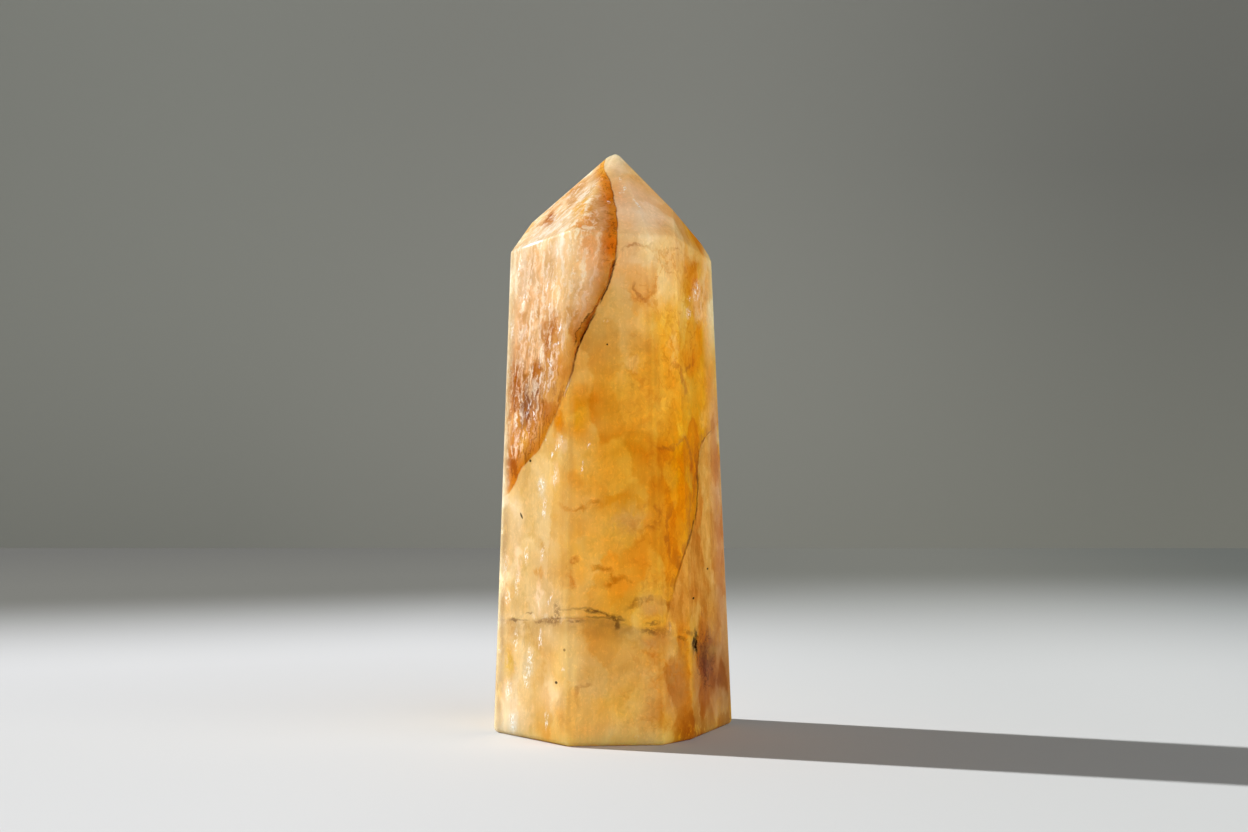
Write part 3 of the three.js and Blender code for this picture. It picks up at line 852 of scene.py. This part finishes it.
VUG = [
    (14.6, 18.6, 0.04, 0.04, 0.10),
    (14.3, 17.8, 0.25, 0.20, 0.60),
    (14.0, 17.0, 0.50, 0.35, 1.10),
    (13.8, 16.0, 0.55, 0.50, 1.40),
    (13.7, 15.2, 0.35, 0.40, 1.00),
    (13.5, 14.2, 0.12, 0.12, 0.40),
    (13.4, 13.4, 0.04, 0.04, 0.10),
]
CLEAR = 0.3  # how far a cutter stands clear of the surface
SHARP_ANGLE = 22  # degrees between faces, past which an edge is shaded as sharp

# Round pits in the tip: place, radius.
PITS = [
    ((-5.4, 90.9), 0.45),
    ((-2.4, 95.5), 0.35),
    ((-0.6, 91.3), 0.35),
]


def front_spot(x, z):
    """The place on the front of the stone at a distance across and a height, and its normal."""
    here = Vector((x, 0, z))
    y, normal = max(
        ((point - here).dot(normal) / normal.y, normal)
        for point, normal in all_planes() if normal.y < -0.2)
    return Vector((x, y, z)), normal


def walked(path, step=0.5, wander=0.15):
    """The path in short steps that wander a little to either side, with lips that vary."""
    for start, end in zip(path, path[1:]):
        length = math.dist(start[:2], end[:2])
        steps = max(1, round(length / step))
        for i in range(steps):
            x, z, left, right, depth = (a + (b - a) * i / steps for a, b in zip(start, end))
            sway = noise.noise(Vector((x * 1.3, z * 1.3, 7)))
            gape = 1 + 0.7 * noise.noise(Vector((x * 1.1, z * 1.1, 31)))
            yield x + 2 * wander * sway, z, left * gape, right * gape, depth * gape
    yield path[-1]


def crack_cutter(bm, path):
    """A wedge that follows a path over the front of the stone."""
    stations = list(walked(path))
    spots = [front_spot(x, z) for x, z, *_ in stations]
    rims = []
    for i, (_, _, left, right, depth) in enumerate(stations):
        spot, normal = spots[i]
        ahead = spots[min(i + 1, len(spots) - 1)][0] - spots[max(i - 1, 0)][0]
        across = ahead.cross(normal).normalized()
        if across.x < 0:
            across.negate()
        flare = 1 + CLEAR / depth
        section = (
            spot - across * left * flare + normal * CLEAR,
            spot + across * right * flare + normal * CLEAR,
            spot - normal * depth,
        )
        ends = [bm.verts.new(corner) for corner in section]
        rims.append([bm.edges.new((a, b)) for a, b in zip(ends, ends[1:] + ends[:1])])
    for rim, following in zip(rims, rims[1:]):
        bmesh.ops.bridge_loops(bm, edges=rim + following)
    for rim in (rims[0], rims[-1]):
        bmesh.ops.contextual_create(bm, geom=rim)


def all_cutters():
    """Each opening in the surface, as a mesh of its own."""
    for path in (HEALED_CRACK, RIGHT_CRACK, VUG, *FOOT_CRACKS):
        bm = bmesh.new()
        crack_cutter(bm, path)
        yield bm
    for (x, z), radius in PITS:
        bm = bmesh.new()
        spot, normal = front_spot(x, z)
        bmesh.ops.create_icosphere(
            bm, subdivisions=3, radius=radius, matrix=Matrix.Translation(spot + normal * radius * 0.35))
        yield bm


def cut_openings(stone):
    """Cuts the cracks, the vug and the pits out of the stone."""
    for bm in all_cutters():
        bmesh.ops.recalc_face_normals(bm, faces=bm.faces[:])
        mesh = bpy.data.meshes.new("cutter")
        bm.to_mesh(mesh)
        bm.free()
        cutter = bpy.data.objects.new("cutter", mesh)
        bpy.context.scene.collection.objects.link(cutter)
        cut = stone.modifiers.new("opening", "BOOLEAN")
        cut.operation = "DIFFERENCE"
        cut.solver = "MANIFOLD"
        cut.object = cutter
        bpy.context.view_layer.update()
        opened = bpy.data.meshes.new_from_object(
            stone.evaluated_get(bpy.context.evaluated_depsgraph_get()))
        stone.modifiers.remove(cut)
        stone.data = opened
        bpy.data.objects.remove(cutter)


def make_stone():
    """The lapped stone with its openings, standing on the middle of its base."""
    bm = lapped_stone()
    low, high = ([pick(vert.co[i] for vert in bm.verts) for i in range(3)] for pick in (min, max))
    middle = Vector(((low[0] + high[0]) / 2, (low[1] + high[1]) / 2, low[2]))
    bmesh.ops.recalc_face_normals(bm, faces=bm.faces[:])
    mesh = bpy.data.meshes.new("quartz_stone")
    bm.to_mesh(mesh)
    bm.free()
    mesh.materials.append(quartz_material())
    stone = bpy.data.objects.new("quartz_stone", mesh)
    bpy.context.scene.collection.objects.link(stone)
    cut_openings(stone)
    stone.data.transform(Matrix.Scale(MM, 4) @ Matrix.Translation(-middle))
    stone.data.shade_smooth()
    stone.data.set_sharp_from_angle(angle=math.radians(SHARP_ANGLE))
    even = stone.modifiers.new("even shading", "WEIGHTED_NORMAL")
    even.keep_sharp = True
    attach(stone, "root")
    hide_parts("quartz_point")


# ======== Stage, lights and camera: metres and degrees ======================================

LENS, SENSOR = 60, 36  # millimetres
EYE = Vector((1.70, -362.5, 54.8)) * MM


def stage_piece(name, size, material, matrix=Matrix()):
    """A flat sheet, for the table or the wall."""
    bm = bmesh.new()
    bmesh.ops.create_grid(bm, x_segments=8, y_segments=8, size=size, matrix=matrix)
    mesh = bpy.data.meshes.new(name)
    bm.to_mesh(mesh)
    bm.free()
    mesh.materials.append(material)
    piece = bpy.data.objects.new(name, mesh)
    piece.visible_glossy = False
    bpy.context.scene.collection.objects.link(piece)
    return piece


def paper_material(name):
    """Uncoated paper: even and dull, with hardly any shine."""
    material, tree, shader = new_material(name)
    shader.inputs["Roughness"].default_value = 0.9
    shader.inputs["Specular IOR Level"].default_value = 0.1
    where = add(tree, "SeparateXYZ", {0: add(tree, "TexCoord").outputs["Object"]})
    return material, tree, shader, where.outputs


def make_stage():
    """A white table with painted shade where its light falls away, sooner at the left, before a grey wall."""
    white, tree, shader, (x, y, _) = paper_material("white table paper with painted shade")
    # Painted shade: the table darker towards the wall, sooner at the left, and darker at the far right.
    bend = add(tree, "MapRange", {"Value": x, "From Min": -0.05, "From Max": -0.29, "To Max": 0.09})
    edge = add(tree, "Math", {0: y, 1: bend}, operation="ADD")
    left = laid_over(tree, "DCDDDE", "E2E3E5", add(tree, "MapRange", {0: edge, 1: 0, 2: 0.11}))
    left = laid_over(tree, left, "7A7A75", add(tree, "MapRange", {0: edge, 1: 0.11, 2: 0.315}, **SMOOTH))
    left = laid_over(tree, left, "70706D", add(tree, "MapRange", {0: edge, 1: 0.36, 2: 0.54}))
    right = laid_over(tree, "CED0D0", "777872", add(tree, "MapRange", {0: y, 1: 0.07, 2: 0.385}, **SMOOTH))
    tone = laid_over(tree, left, right, add(tree, "MapRange", {0: x, 1: -0.06, 2: 0.09}, **SMOOTH))
    far_right = add(tree, "MapRange", {0: x, 1: 0.10, 2: 0.26}, **SMOOTH)
    tone = add(tree, "Mix", {0: far_right, 6: tone.outputs[2], 7: "DDE2E6"},
               data_type="RGBA", blend_type="MULTIPLY")
    tree.links.new(tone.outputs[2], shader.inputs["Base Color"])
    stage_piece("table", 4, white)

    grey, tree, shader, (x, _, z) = paper_material("grey wall paper with painted shade")
    # Painted shade: the wall darker towards the top and towards the right.
    middle = laid_over(tree, "AAAAA2", "9A9A93", add(tree, "MapRange", {0: z, 1: 0.04, 2: 0.23}, **SMOOTH))
    side = laid_over(tree, "98988F", "7C7C76", add(tree, "MapRange", {0: z, 1: 0, 2: 0.16}))
    tone = laid_over(tree, middle, side, add(tree, "MapRange", {0: x, 1: -0.01, 2: 0.27}, **SMOOTH))
    tone = laid_over(tree, tone, "A6A9A1", add(tree, "MapRange", {0: x, 1: -0.02, 2: -0.2}, **SMOOTH), 0.4)
    tree.links.new(tone.outputs[2], shader.inputs["Base Color"])
    upright = Matrix.Translation((0, 0.5, 0)) @ Matrix.Rotation(math.radians(90), 4, "X")
    wall = stage_piece("wall", 1.2, grey, upright)
    wall.visible_shadow = False


def aimed(name, light, towards):
    """A lamp that shines from a direction towards the stone."""
    lamp = bpy.data.objects.new(name, light)
    lamp.rotation_mode = "QUATERNION"
    lamp.rotation_quaternion = towards.to_track_quat("Z", "Y")
    bpy.context.scene.collection.objects.link(lamp)
    return lamp


def direction(azimuth, elevation):
    """The direction at an angle round from the right and an angle up from the table."""
    a, e = math.radians(azimuth), math.radians(elevation)
    return Vector((math.cos(e) * math.cos(a), math.cos(e) * math.sin(a), math.sin(e)))


def softbox(name, azimuth, elevation, distance, width, height, power):
    """A large soft lamp that no gloss mirrors."""
    data = bpy.data.lights.new(name, "AREA")
    data.shape = "RECTANGLE"
    data.size = width
    data.size_y = height
    data.energy = power
    away = direction(azimuth, elevation)
    lamp = aimed(name, data, away)
    lamp.location = away * distance + Vector((0, 0, 0.05))
    lamp.visible_glossy = False


def make_lights():
    """A sun from the left and a little behind, a wide softbox at the front right, a faint fill."""
    key = bpy.data.lights.new("key", "SUN")
    key.energy = 5.12
    key.angle = math.radians(1.5)
    aimed("key", key, direction(160, 30))
    softbox("front softbox", azimuth=-42, elevation=13, distance=1.7, width=2.2, height=0.8, power=26.2)

    world = bpy.data.worlds.new("studio")
    world.use_nodes = True
    background = world.node_tree.nodes["Background"]
    background.inputs["Color"].default_value = srgb(WHITE)
    background.inputs["Strength"].default_value = 0.036
    bpy.context.scene.world = world


def make_camera():
    """A level camera in front of the stone."""
    data = bpy.data.cameras.new("camera")
    data.lens = LENS
    data.sensor_width = SENSOR
    data.clip_start = 0.01
    camera = bpy.data.objects.new("camera", data)
    camera.location = EYE
    camera.rotation_euler = (math.radians(90), 0, 0)
    bpy.context.scene.collection.objects.link(camera)
    bpy.context.scene.camera = camera


make_stone()
make_stage()
make_lights()
make_camera()
bpy.context.scene.view_settings.view_transform = "Standard"
